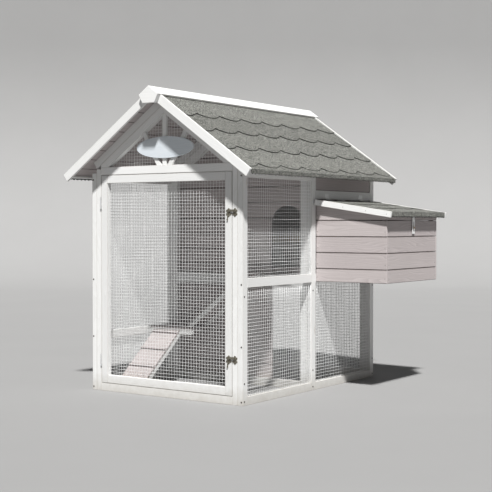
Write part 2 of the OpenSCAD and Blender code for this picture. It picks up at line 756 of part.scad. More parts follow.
// Leaf on the hinge rail, with its knuckles and the pin
module wall_hinge_leaves() color(zinc) placed() for (y = lid_hinge_ys) translate([lid_axis[0], y, lid_axis[1]]) {
    segment = lid_hinge_len / 5;
    face = half_w + 0.2 - lid_axis[0];
    for (k = [0, 2, 4]) {
        translate([0, -lid_hinge_len / 2 + k * segment + 0.25, 0]) rotate([-90, 0, 0])
            cylinder(h = segment - 0.5, r = 3.4);
        translate([face, -lid_hinge_len / 2 + k * segment + 0.25, 0]) cube([1.2, segment - 0.5, 9]);
    }
    translate([face, -lid_hinge_len / 2 + 0.25, 5]) cube([1.2, lid_hinge_len - 0.5, 22]);
    translate([0, -lid_hinge_len / 2 - 1, 0]) rotate([-90, 0, 0]) cylinder(h = lid_hinge_len + 2, r = 1.5);
}

hasp_w = 28;
hasp_knuckle = hasp_w - 8;
hasp_foot_z = 856;
lug_t = 3.4;

// Slotted strap that hangs from the lid over the staple
module hasp_strap() color(zinc) placed() translate([hasp_axis[0], hasp_y, 0]) difference() {
    union() {
        translate([-1, -hasp_w / 2, hasp_foot_z]) cube([2, hasp_w, hasp_axis[1] - hasp_foot_z - 4]);
        translate([-1, -hasp_knuckle / 2, hasp_axis[1] - 10]) cube([2, hasp_knuckle, 8]);
        translate([0, -hasp_knuckle / 2, hasp_axis[1]]) rotate([-90, 0, 0]) cylinder(h = hasp_knuckle, r = 3.2);
    }
    translate([-3, -4, hasp_foot_z + 9]) cube([6, 8, 54]);
    translate([0, -hasp_w, hasp_axis[1]]) rotate([-90, 0, 0]) cylinder(h = 2 * hasp_w, r = 1.6);
}

// Leaf screwed under the lid, with two lugs and the strap's pin
module hasp_leaf() color(zinc) placed() translate([hasp_axis[0], 0, hasp_axis[1]]) {
    across(hasp_y - hasp_w / 2, hasp_y + hasp_w / 2) union() {
        circle(1.4, $fn = 32);
        rotate(-lid_fall) translate([-3, 5.4]) square([30, 1.4]);
    }
    for (y = [hasp_y - hasp_w / 2, hasp_y + hasp_w / 2 - lug_t]) across(y, y + lug_t) union() {
        circle(3, $fn = 32);
        rotate(-lid_fall) translate([-3, 0]) square([6, 6]);
    }
}

module hasp_staple() color(zinc) placed() {
    block([nest_x1 + 0.2, hasp_y - 11, 876], [nest_x1 + 1.4, hasp_y + 11, 902]);
    across(hasp_y - 2, hasp_y + 2) difference() {
        translate([nest_x1 + 1.4, 884]) square([12, 10]);
        translate([nest_x1 + 8.5, 889]) circle(2.4, $fn = 24);
    }
}

// ---------------------------------------------------------------- nodes

left_wall_frame();
right_wall_frame();
front_frame();
front_gable_frame();
gable_struts();
gable_mesh();
name_plaque();
partition_frame();
rear_wall_frame();
rear_gable_planks();
left_upper_mesh();
left_lower_mesh();
left_rear_mesh();
right_upper_mesh();
right_lower_mesh();
right_rear_mesh();
rear_lower_mesh();
pop_hole_wall();
lower_partition_planks();
house_left_wall();
house_right_wall();
house_floor();
floor_bearers();
perch();
perch_brackets();
tray_base();
tray_rim();
nest_end_walls();
nest_outer_wall();
nest_floor();
nest_divider();
nest_corner_battens();
lid_boards();
lid_trim();
lid_felt();
lid_hinge_leaves();
wall_hinge_leaves();
hasp_strap();
hasp_leaf();
hasp_staple();
roof_rafters();
roof_boards();
left_felt();
right_felt();
eave_battens();
bargeboards();
ridge_cap();
ridge_end_blocks();
landing_boards();
landing_bearers();
lower_ramp();
upper_ramp();
door_frame();
door_mesh();
door_hardware();
frame_hardware();
upper_latch_hook();
lower_latch_hook();
rear_door();
rear_latch_hook();
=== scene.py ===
"""Chicken coop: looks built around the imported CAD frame."""

import json
import math

import bmesh
import bpy
import numpy as np
from mathutils import Matrix, Vector


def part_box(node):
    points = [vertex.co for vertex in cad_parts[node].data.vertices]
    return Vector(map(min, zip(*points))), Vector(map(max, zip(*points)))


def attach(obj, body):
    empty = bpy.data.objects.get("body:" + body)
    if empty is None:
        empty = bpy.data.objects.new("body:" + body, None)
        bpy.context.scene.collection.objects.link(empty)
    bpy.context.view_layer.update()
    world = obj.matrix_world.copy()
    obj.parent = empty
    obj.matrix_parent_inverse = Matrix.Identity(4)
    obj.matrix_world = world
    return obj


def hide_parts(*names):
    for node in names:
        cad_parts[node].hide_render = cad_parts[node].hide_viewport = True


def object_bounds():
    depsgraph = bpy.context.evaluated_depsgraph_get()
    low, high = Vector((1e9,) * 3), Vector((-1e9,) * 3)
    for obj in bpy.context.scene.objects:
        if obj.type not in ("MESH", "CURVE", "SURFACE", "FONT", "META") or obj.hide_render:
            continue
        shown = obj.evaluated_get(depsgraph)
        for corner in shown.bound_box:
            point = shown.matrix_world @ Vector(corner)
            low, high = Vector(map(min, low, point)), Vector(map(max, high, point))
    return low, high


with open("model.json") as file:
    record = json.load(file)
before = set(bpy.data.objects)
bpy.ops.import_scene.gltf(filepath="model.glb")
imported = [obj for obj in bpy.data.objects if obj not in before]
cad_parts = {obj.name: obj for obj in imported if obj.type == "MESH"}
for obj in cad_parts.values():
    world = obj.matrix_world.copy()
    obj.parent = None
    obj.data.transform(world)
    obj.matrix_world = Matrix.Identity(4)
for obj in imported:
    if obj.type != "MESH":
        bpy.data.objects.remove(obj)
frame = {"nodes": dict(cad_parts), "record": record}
cad_lo, cad_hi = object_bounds()

NODES = frame["nodes"]
SLOT_OF = {s["node"]: s["material_slot"] for s in frame["record"]["subparts"]}
BODY_OF = {n: b for b, ns in frame["record"]["behaviour"]["bodies"].items() for n in ns}

# The CAD's own layout starts at the middle of the front face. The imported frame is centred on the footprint,
# and this is where it puts that starting point, in metres.
X0, Y0 = -0.179, -0.661
# What the roof felt is laid by: the walls' height and half width at their tops in metres, and both slopes
WALL_TOP = 1.178
ROOF_HALF = 0.622
PITCH = math.radians(35)
LID_FALL = math.radians(8.5)

# ------------------------------------------------------------------ node helpers


class Graph:
    """A small wrapper that makes and links shader nodes."""

    def __init__(self, name):
        self.mat = bpy.data.materials.new(name)
        self.mat.use_nodes = True
        self.tree = self.mat.node_tree
        self.bsdf = self.tree.nodes["Principled BSDF"]

    def add(self, kind, inputs=None, **props):
        node = self.tree.nodes.new(kind)
        for key, value in props.items():
            setattr(node, key, value)
        for key, value in (inputs or {}).items():
            self.put(node.inputs[key], value)
        return node

    def put(self, socket, value):
        if isinstance(value, bpy.types.NodeSocket):
            self.tree.links.new(value, socket)
        else:
            socket.default_value = value

    def math(self, op, a, b=0.5, c=0.5):
        return self.add("ShaderNodeMath", {0: a, 1: b, 2: c}, operation=op).outputs[0]

    def mix(self, factor, a, b):
        n = self.add("ShaderNodeMix", data_type="RGBA")
        self.put(n.inputs[0], factor)
        self.put(n.inputs[6], a)
        self.put(n.inputs[7], b)
        return n.outputs[2]

    def ramp(self, factor, *stops):
        n = self.add("ShaderNodeValToRGB", {"Fac": factor})
        while len(n.color_ramp.elements) < len(stops):
            n.color_ramp.elements.new(0.5)
        for e, (pos, value) in zip(n.color_ramp.elements, stops):
            e.position = pos
            e.color = (value, value, value, 1) if isinstance(value, (int, float)) else (*value, 1)
        return n.outputs["Color"]

    def attribute(self, name, output):
        return self.add("ShaderNodeAttribute", attribute_name=name).outputs[output]

    def scaled(self, vector, scale, shift=(0, 0, 0)):
        return self.add("ShaderNodeMapping", {"Vector": vector, "Scale": scale, "Location": shift}).outputs[0]

    def share(self, value, low, high, amount):
        """How much of something shows: from none of the amount at low to all of it at high."""
        stops = ((low, 0.0), (high, 1.0)) if low < high else ((high, 1.0), (low, 0.0))
        return self.math("MULTIPLY", self.ramp(value, *stops), amount)

    def xyz(self, vector):
        return self.add("ShaderNodeSeparateXYZ", {"Vector": vector}).outputs

    def noise(self, vector, scale, detail=4.0, rough=0.55, distortion=0.0):
        return self.add("ShaderNodeTexNoise", {"Vector": vector, "Scale": scale, "Detail": detail,
                                               "Roughness": rough, "Distortion": distortion}).outputs["Fac"]

    def voronoi(self, vector, scale, output="Distance"):
        return self.add("ShaderNodeTexVoronoi", {"Vector": vector, "Scale": scale}).outputs[output]

    def cell_value(self, vector, scale):
        """A flat random value for each small cell."""
        return self.add("ShaderNodeSeparateColor", {"Color": self.voronoi(vector, scale, "Color")}).outputs[0]

    def position(self):
        return self.add("ShaderNodeTexCoord").outputs["Object"]

    def toned(self, color, tone, value, spread, **more):
        """The colour made lighter or darker by the board's or the course's own tone."""
        inputs = {"Color": color, "Value": self.math("MULTIPLY_ADD", tone, spread, value), **more}
        return self.add("ShaderNodeHueSaturation", inputs).outputs[0]

    def height(self, value, strength, distance, normal=None):
        inputs = {"Strength": strength, "Distance": distance, "Height": value}
        if normal is not None:
            inputs["Normal"] = normal
        return self.add("ShaderNodeBump", inputs).outputs["Normal"]

    def finish(self, color, rough, normal=None, **constants):
        self.put(self.bsdf.inputs["Base Color"], color)
        self.put(self.bsdf.inputs["Roughness"], rough)
        if normal is not None:
            self.put(self.bsdf.inputs["Normal"], normal)
        for key, value in constants.items():
            self.bsdf.inputs[key.replace("_", " ")].default_value = value
        return self.mat


# ------------------------------------------------------------------ materials


def timber_material(name, light, dark, knot, edge, grain_mix, rough, edge_share, worn):
    """Stained or painted softwood: streaks and growth rings along the board, knots, worn edges with painted
    shade along them, and soiling.
    """
    g = Graph(name)
    grain = g.attribute("grain", "Vector")
    tone = g.attribute("tone", "Fac")
    streak = g.noise(g.scaled(grain, (5.0, 210.0, 210.0)), 1.0, 6.0, 0.62, 0.3)
    bend = g.noise(g.scaled(grain, (1.6, 9.0, 9.0)), 1.0, 2.0, 0.5)
    shift = g.add("ShaderNodeCombineXYZ", {"Y": g.math("MULTIPLY", bend, 9.0)}).outputs[0]
    ring_at = g.add("ShaderNodeVectorMath", {0: g.scaled(grain, (1.2, 60.0, 60.0)), 1: shift},
                    operation="ADD").outputs[0]
    rings = g.add("ShaderNodeTexWave", {"Vector": ring_at, "Scale": 0.55, "Distortion": 2.2, "Detail": 3.0,
                                        "Detail Scale": 1.4}, wave_type="BANDS", bands_direction="Y",
                  wave_profile="SAW").outputs["Fac"]
    cell = g.voronoi(g.scaled(grain, (2.6, 13.0, 13.0), (0.3, 0.2, 0.4)), 1.0)
    knots = g.ramp(cell, (0.035, 1.0), (0.085, 0.0))
    figure = g.math("ADD", g.math("MULTIPLY", streak, 0.62), g.math("MULTIPLY", rings, 0.38))
    mixed = g.mix(g.share(figure, 0.30, 0.78, grain_mix), (*light, 1), (*dark, 1))
    mixed = g.mix(g.math("MULTIPLY", knots, 0.55), mixed, (*knot, 1))
    board = g.toned(mixed, tone, 0.93, 0.14, Hue=g.math("MULTIPLY_ADD", tone, 0.014, 0.493))
    # Rain-washed and rubbed patches
    place = g.position()
    patched = g.mix(g.share(g.noise(place, 5.5, 4.0, 0.6), 0.42, 0.75, worn), board, (*dark, 1))
    # Worn finish along a board's long arrises, the lines where its width meets its thickness, and painted
    # shade there that darkens the joints between planks
    across, half = g.xyz(g.attribute("across", "Vector")), g.xyz(g.attribute("half", "Vector"))
    inset = g.math("MAXIMUM", *(g.math("SUBTRACT", half[k], g.math("ABSOLUTE", across[k])) for k in "XY"))
    nibbled = g.noise(g.scaled(grain, (22.0, 60.0, 60.0)), 1.0, 3.0)
    ragged_inset = g.math("MULTIPLY_ADD", nibbled, -0.0024, inset)
    near_edge = g.share(g.math("MULTIPLY", ragged_inset, 200.0), 0.42, 0.1, edge_share)
    patched = g.mix(near_edge, patched, (*edge, 1))
    # Soil splashed on the lowest hand's breadth
    ragged_low = g.math("MULTIPLY_ADD", g.noise(place, 30.0, 3.0), 0.06, g.xyz(place)["Z"])
    soiled = g.mix(g.share(ragged_low, 0.13, 0.03, 0.42), patched, (0.23, 0.19, 0.13, 1))
    fine = g.noise(g.scaled(grain, (30.0, 900.0, 900.0)), 1.0, 2.0)
    bump = g.height(g.math("ADD", figure, g.math("MULTIPLY", knots, -0.3)), 0.35, 0.0007)
    bump = g.height(fine, 0.18, 0.0003, bump)
    roughness = g.math("MULTIPLY_ADD", streak, 0.18, rough)
    return g.finish(soiled, roughness, bump, Specular_IOR_Level=0.32)


def felt_material():
    """Mineral granules in bitumen: two sizes of grain, washed-out patches, and dark cut edges with painted
    shade along each course's lower edge.
    """
    g = Graph("felt_granules")
    place = g.position()
    grit = g.cell_value(place, 300.0)
    coarse = g.noise(place, 150.0, 3.0, 0.75)
    patches = g.noise(place, 7.0, 5.0, 0.62)
    speck = g.ramp(g.math("ADD", g.math("MULTIPLY", grit, 0.55), g.math("MULTIPLY", coarse, 0.55)),
                   (0.26, (0.030, 0.031, 0.028)), (0.48, (0.092, 0.094, 0.086)),
                   (0.68, (0.195, 0.198, 0.184)), (0.90, (0.46, 0.46, 0.43)))
    wash = g.mix(g.share(patches, 0.36, 0.7, 0.2), speck, (0.20, 0.20, 0.18, 1))
    course = g.toned(wash, g.attribute("tone", "Fac"), 0.92, 0.16)
    # The edge attribute darkens the cut edges' bitumen and paints shade along each course's lower edge
    colour = g.mix(g.attribute("edge", "Fac"), course, (0.022, 0.022, 0.021, 1))
    bump = g.height(g.math("ADD", grit, coarse), 0.55, 0.0012)
    return g.finish(colour, g.math("MULTIPLY_ADD", coarse, 0.12, 0.84), bump, Specular_IOR_Level=0.25)


def metal_material(name, base, stain, rough, metallic, stain_share, scale=60.0):
    """Bare or plated metal with a faint spangle and cloudy stains, more of them the higher stain_share is."""
    g = Graph(name)
    place = g.position()
    cloud = g.noise(place, scale, 5.0, 0.65)
    spangle = g.math("MULTIPLY", g.cell_value(place, scale * 7), 0.25)
    shade = g.mix(spangle, (*base, 1), (*[c * 0.7 for c in base], 1))
    colour = g.mix(g.share(cloud, 0.45, 0.68, stain_share), shade, (*stain, 1))
    bump = g.height(g.noise(place, scale * 12, 3.0), 0.2, 0.0002)
    return g.finish(colour, g.math("MULTIPLY_ADD", cloud, 0.25, rough), bump, Metallic=metallic)


def sign_material():
    """Pale blue-grey paint, brushed along the board and a little patchy."""
    g = Graph("sign_paint")
    place = g.position()
    brush = g.noise(g.scaled(place, (14, 40, 260)), 1.0, 4.0, 0.6, 0.4)
    patch = g.noise(place, 16.0, 4.0, 0.6)
    colour = g.mix(g.share(brush, 0.3, 0.75, 1.0), (0.60, 0.655, 0.70, 1), (0.67, 0.715, 0.755, 1))
    colour = g.mix(g.share(patch, 0.5, 0.72, 0.3), colour, (0.73, 0.755, 0.78, 1))
    bump = g.height(brush, 0.25, 0.0005)
    return g.finish(colour, g.math("MULTIPLY_ADD", patch, 0.2, 0.42), bump, Specular_IOR_Level=0.4)


MATERIALS = {
    "white_timber": timber_material(
        "white_timber", light=(0.775, 0.78, 0.775), dark=(0.67, 0.67, 0.66), knot=(0.52, 0.48, 0.42),
        edge=(0.40, 0.37, 0.32), grain_mix=0.55, rough=0.52, edge_share=0.30, worn=0.12),
    # The near-black edge colour of these planks is painted shade in the joints between them
    "taupe_planks": timber_material(
        "taupe_planks", light=(0.50, 0.455, 0.452), dark=(0.37, 0.332, 0.330), knot=(0.21, 0.17, 0.155),
        edge=(0.085, 0.068, 0.062), grain_mix=0.85, rough=0.60, edge_share=0.80, worn=0.2),
    "bare_timber": timber_material(
        "bare_timber", light=(0.62, 0.47, 0.31), dark=(0.44, 0.30, 0.18), knot=(0.22, 0.13, 0.07),
        edge=(0.30, 0.20, 0.11), grain_mix=0.8, rough=0.6, edge_share=0.4, worn=0.2),
    "roof_felt": felt_material(),
    "wire_mesh": metal_material(
        "galvanised_wire", base=(0.90, 0.91, 0.91), stain=(0.72, 0.73, 0.73),
        rough=0.36, metallic=0.2, stain_share=0.4, scale=90.0),
    "zinc_fittings": metal_material(
        "zinc_plate", base=(0.74, 0.75, 0.76), stain=(0.46, 0.44, 0.40),
        rough=0.36, metallic=0.55, stain_share=0.45),
    "bronze_latches": metal_material(
        "antique_bronze", base=(0.17, 0.155, 0.12), stain=(0.44, 0.42, 0.36),
        rough=0.38, metallic=0.6, stain_share=0.5, scale=130.0),
    "sign_board": sign_material(),
}
# Near-black metal: rust on the nail heads, and painted shade of the recesses on the frame's screw heads
DARK_SCREW = metal_material("rust_and_painted_shade_screw", base=(0.10, 0.095, 0.09), stain=(0.16, 0.10, 0.06),
                            rough=0.45, metallic=0.7, stain_share=0.5, scale=300.0)
# Zinc with a lighter base than zinc_plate: a painted reflection of the sky on the hinge leaves and the hasp
ZINC_PAINTED_REFLECTION = metal_material("zinc_painted_reflection", base=(0.90, 0.91, 0.91), stain=(0.78, 0.77, 0.73),
                             rough=0.30, metallic=0.25, stain_share=0.35)
RUST = metal_material("rusted_steel", base=(0.22, 0.15, 0.085), stain=(0.38, 0.29, 0.17),
                      rough=0.6, metallic=0.4, stain_share=0.5, scale=120.0)

# ------------------------------------------------------------------ CAD nodes: grain and bevels


def islands_of(mesh):
    """Every vertex's place, and the island it belongs to, with touching corners counted as one."""
    co = np.zeros(len(mesh.vertices) * 3)
    mesh.vertices.foreach_get("co", co)
    co = co.reshape(-1, 3)
    _, weld = np.unique(np.round(co, 6), axis=0, return_inverse=True)
    weld = weld.reshape(-1)
    parent = np.arange(weld.max() + 1)

    def root(i):
        while parent[i] != i:
            parent[i] = parent[parent[i]]
            i = parent[i]
        return i

    for p in mesh.polygons:
        r = [root(weld[v]) for v in p.vertices]
        for other in r[1:]:
            parent[root(other)] = root(r[0])
    label = np.array([root(i) for i in range(len(parent))])
    return co, label[weld]


def board_axes(co, polygons):
    """Along, width and thickness directions of a board, from its two largest groups of faces."""
    groups = []
    for p in polygons:
        n = np.array(p.normal)
        for g in groups:
            if abs(g[0] @ n) > 0.99:
                g[1] += p.area
                break
        else:
            groups.append([n, p.area])
    groups.sort(key=lambda g: -g[1])
    thick = groups[0][0]
    second = next((g[0] for g in groups[1:] if abs(g[0] @ thick) < 0.2), None)
    if second is None:
        second = np.cross(thick, (0.0, 0.0, 1.0) if abs(thick[2]) < 0.9 else (1.0, 0.0, 0.0))
    along = np.cross(thick, second)
    along /= np.linalg.norm(along)
    width = np.cross(along, thick)
    return along, width, thick


def hashed(v, seed=0.0):
    """A repeatable number in 0..1 from a point."""
    s = math.sin(v[0] * 127.1 + v[1] * 311.7 + v[2] * 74.7 + seed * 53.3) * 43758.5453
    return s - math.floor(s)


def give_grain(obj):
    """Writes each board's own coordinates and tone on the node's points, for the timber materials."""
    mesh = obj.data
    co, island = islands_of(mesh)
    grain, across, half, tone = np.zeros_like(co), np.zeros_like(co), np.zeros_like(co), np.zeros(len(co))
    by_island = {}
    for p in mesh.polygons:
        by_island.setdefault(island[p.vertices[0]], []).append(p)
    for key, polygons in by_island.items():
        pick = island == key
        along, width, thick = board_axes(co, polygons)
        centre = co[pick].mean(0)
        r = [hashed(centre, k) for k in range(4)]
        local = (co[pick] - centre) @ np.stack([along, width, thick]).T
        section = local[:, 1:]
        middle = (section.min(0) + section.max(0)) / 2
        across[pick, :2] = section - middle
        half[pick, :2] = section.max(0) - middle
        grain[pick] = local + np.array([r[0] * 7, r[1] * 2, r[2] * 2])
        tone[pick] = r[3]
    for key, data in (("grain", grain), ("across", across), ("half", half)):
        a = mesh.attributes.new(key, "FLOAT_VECTOR", "POINT")
        a.data.foreach_set("vector", data.astype(np.float32).ravel())
    a = mesh.attributes.new("tone", "FLOAT", "POINT")
    a.data.foreach_set("value", tone.astype(np.float32))


def soften(obj, width):
    """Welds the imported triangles, rounds the edges and evens the shading, all as modifiers."""
    steps = (("weld", "WELD", {"merge_threshold": 1e-5}),
             ("flats", "DECIMATE", {"decimate_type": "DISSOLVE", "angle_limit": math.radians(0.6)}),
             ("bevel", "BEVEL", {"width": width, "segments": 2, "limit_method": "ANGLE",
                                 "angle_limit": math.radians(30)}),
             ("normals", "WEIGHTED_NORMAL", {"weight": 60}))
    for name, kind, settings in steps:
        modifier = obj.modifiers.new(name, kind)
        for key, value in settings.items():
            setattr(modifier, key, value)


def fitting_piece(lo, hi):
    """Screw heads are dark, a painted shade of their recesses; the latches' studs and plates are bronze and
    the hinge leaves are zinc.
    """
    thin, _, long = sorted(hi - lo)
    if 0.008 < long < 0.009 and thin < 0.003:
        return DARK_SCREW
    if long < 0.0075 or (0.028 < long < 0.045 and thin < 0.009):
        return MATERIALS["bronze_latches"]
    return MATERIALS["zinc_fittings"]


def rear_door_piece(lo, hi):
    """The small pieces are fittings, the long narrow ones the white frame, the rest planks."""
    thin, width, long = sorted(hi - lo)
    if thin < 0.0105 and long < 0.08:
        return fitting_piece(lo, hi)
    return MATERIALS["white_timber" if long > 0.4 and width < 0.06 else "taupe_planks"]


def ramp_piece(lo, hi):
    """The side battens are white and the boards and cleats are stained."""
    thin = min(hi.x - lo.x, hi.y - lo.y) < 0.03
    return MATERIALS["white_timber" if thin and max(hi - lo) > 0.25 else "taupe_planks"]


def tray_piece(lo, hi):
    """The turned pull knob is bare timber and the rim is stained."""
    return MATERIALS["bare_timber" if hi.x - lo.x < 0.03 and hi.y - lo.y < 0.03 else "taupe_planks"]


def dress(obj, choose):
    """Gives each island of a node its own material."""
    mesh = obj.data
    co, island = islands_of(mesh)
    mesh.materials.clear()
    slot_of = {}
    for key in np.unique(island):
        pick = co[island == key]
        material = choose(Vector(pick.min(0)), Vector(pick.max(0)))
        if material.name not in mesh.materials:
            mesh.materials.append(material)
        slot_of[key] = mesh.materials.find(material.name)
    for p in mesh.polygons:
        p.material_index = slot_of[island[p.vertices[0]]]


MIXED = {"door_hardware": fitting_piece, "frame_hardware": fitting_piece, "rear_door": rear_door_piece,
         "lower_ramp": ramp_piece, "upper_ramp": ramp_piece, "tray_rim": tray_piece}
# How far each kind of stock is rounded at its edges
BEVEL = {"white_timber": 0.0014, "taupe_planks": 0.0012, "bare_timber": 0.0012, "zinc_fittings": 0.00025,
         "bronze_latches": 0.0005, "sign_board": 0.0015}
# Wall planks have chamfered edges that make a dark groove at each joint
CHAMFER = 0.0024
CLAD = ("nest_outer_wall", "nest_end_walls", "house_right_wall", "house_left_wall", "rear_gable_planks",
        "pop_hole_wall", "lower_partition_planks", "rear_door")
# Nodes of one metal that isn't their slot's usual one, among them the zinc with a painted reflection
OWN = {"wall_hinge_leaves": ZINC_PAINTED_REFLECTION, "lid_hinge_leaves": ZINC_PAINTED_REFLECTION, "hasp_leaf": ZINC_PAINTED_REFLECTION,
       "hasp_strap": ZINC_PAINTED_REFLECTION, "hasp_staple": RUST}
for node, obj in NODES.items():
    slot = SLOT_OF[node]
    if node in MIXED:
        dress(obj, MIXED[node])
    else:
        obj.data.materials.clear()
        obj.data.materials.append(OWN.get(node, MATERIALS[slot]))
    if slot in ("white_timber", "taupe_planks", "bare_timber"):
        give_grain(obj)
    if slot in BEVEL:
        soften(obj, CHAMFER if node in CLAD else BEVEL[slot])

# ------------------------------------------------------------------ new pieces


def new_piece(name, vertices, faces, body, slot, material=None, smooth=True, values=None):
    """Makes a mesh that rides a body. values holds one number per vertex under each attribute's name."""
    mesh = bpy.data.meshes.new(name)
    mesh.from_pydata([tuple(v) for v in vertices], [], faces)
    mesh.update()
    mesh.polygons.foreach_set("use_smooth", [smooth] * len(mesh.polygons))
    for key, data in (values or {}).items():
        a = mesh.attributes.new(key, "FLOAT", "POINT")
        a.data.foreach_set("value", np.asarray(data, np.float32))
    mesh.materials.append(material or MATERIALS[slot])
    obj = bpy.data.objects.new(name, mesh)
    bpy.context.scene.collection.objects.link(obj)
    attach(obj, body)
    return obj


def tube(points, radius, sides, vertices, faces):
    """Adds a round wire along points, all of it near one direction, with closed ends."""
    points = [np.asarray(p, float) for p in points]
    along = points[-1] - points[0]
    along = along / np.linalg.norm(along)
    u = np.cross(along, (0.0, 0.0, 1.0) if abs(along[2]) < 0.9 else (1.0, 0.0, 0.0))
    u /= np.linalg.norm(u)
    v = np.cross(along, u)
    first = len(vertices)
    angles = [2 * math.pi * k / sides for k in range(sides)]
    ring = [math.cos(a) * u + math.sin(a) * v for a in angles]
    for p in points:
        vertices.extend(p + radius * r for r in ring)
    for i in range(len(points) - 1):
        a, b = first + i * sides, first + (i + 1) * sides
        for k in range(sides):
            j = (k + 1) % sides
            faces.append((a + k, a + j, b + j, b + k))
    last = first + (len(points) - 1) * sides
    faces.append(tuple(first + k for k in reversed(range(sides))))
    faces.append(tuple(last + k for k in range(sides)))


WIRE_R = 0.00085
# Height and width of one opening of the wire
WIRE_UP, WIRE_ACROSS = 0.0172, 0.0183


def wire_panel(node, flat, span):
    """Welded wire in place of a CAD sheet that is flat along one axis.

    span(kind, value) gives the two ends of one wire, or None where there is none.
    """
    lo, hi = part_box(node)
    run = 1 - flat
    middle = (lo[flat] + hi[flat]) / 2
    vertices, faces = [], []

    def wobble(t, s, k):
        """How far a wire strays from straight."""
        return 0.0007 * math.sin(t * 11.0 + s * 37.0 + k) + 0.0004 * math.sin(t * 31.0 + s * 91.0 + 2 * k)

    def add(kind, s, ends):
        start, stop = ends
        steps = max(2, int((stop - start) / 0.09))
        points = []
        for i in range(steps + 1):
            t = start + (stop - start) * i / steps
            p = np.zeros(3)
            p[flat] = middle + (WIRE_R * 0.85 if kind == "up" else -WIRE_R * 0.85) + 1.3 * wobble(t, s, 0.3)
            if kind == "up":
                p[run], p[2] = s + wobble(t, s, 1.7), t
            else:
                p[run], p[2] = t, s + wobble(t, s, 4.1)
            points.append(p)
        tube(points, WIRE_R, 6, vertices, faces)

    count = int((hi[run] - lo[run]) / WIRE_ACROSS)
    first = (lo[run] + hi[run]) / 2 - count * WIRE_ACROSS / 2
    for i in range(count + 1):
        ends = span("up", first + i * WIRE_ACROSS)
        if ends:
            add("up", first + i * WIRE_ACROSS, ends)
    count = int((hi[2] - lo[2]) / WIRE_UP)
    first = lo[2] + 0.006
    for i in range(count + 1):
        z = first + i * WIRE_UP
        ends = span("across", z) if z < hi[2] - 0.002 else None
        if ends:
            add("across", z, ends)
    piece = new_piece(node + "_wires", vertices, faces, BODY_OF[node], "wire_mesh")
    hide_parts(node)


def rectangle(node, run):
    """Ends of the wires in a rectangular panel, just inside its edges."""
    lo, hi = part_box(node)

    def span(kind, value):
        axis = 2 if kind == "up" else run
        return lo[axis] + 0.001, hi[axis] - 0.001
    return span


def gable_span():
    """Ends of the wires in the triangle of the front gable."""
    lo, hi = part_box("gable_mesh")
    mid = (lo.x + hi.x) / 2
    half = (hi.x - lo.x) / 2
    slope = math.tan(PITCH)

    def span(kind, value):
        if kind == "up":
            top = hi.z - abs(value - mid) * slope - 0.002
            return (lo.z + 0.001, top) if top > lo.z + 0.01 else None
        reach = min(half, (hi.z - value) / slope) - 0.002
        return (mid - reach, mid + reach) if reach > 0.01 else None
    return span


for node in ("left_upper_mesh", "left_lower_mesh", "left_rear_mesh",
             "right_upper_mesh", "right_lower_mesh", "right_rear_mesh"):
    wire_panel(node, 0, rectangle(node, 1))
for node in ("rear_lower_mesh", "door_mesh"):
    wire_panel(node, 1, rectangle(node, 0))
wire_panel("gable_mesh", 1, gable_span())

# Felt: each course is a tapered sheet whose scalloped lower edge lies over the next one
# Width and depth of one scallop, and the radius of its arc
SCALLOP, DROP = 0.200, 0.034
ARC = ((SCALLOP / 2) ** 2 + DROP ** 2) / (2 * DROP)
# Where the first scallop starts, from the front face
FIRST_CUSP = 0.040
# Width of the strip on a course's top along its cut edge that is darkened, painted shade of the step there
CUT_EDGE = 0.0045
# How far a course runs up under the one above it
OVERLAP = 0.012
# Columns of faces along the roof, and rows down one course
COLUMN, ROWS = 0.005, 9


def scallop(y_layout):
    """How far a course reaches below its cusp line at y (metres from the front face)."""
    t = (y_layout - FIRST_CUSP) % SCALLOP - SCALLOP / 2
    return DROP - ARC + math.sqrt(ARC * ARC - t * t)


def ragged(t, seed):
    """Unevenness of a knife-cut edge."""
    return (0.0009 * math.sin(t * 210 + seed) + 0.0007 * math.sin(t * 487 + 2.3 * seed)
            + 0.0005 * math.sin(t * 911 + seed * 5))


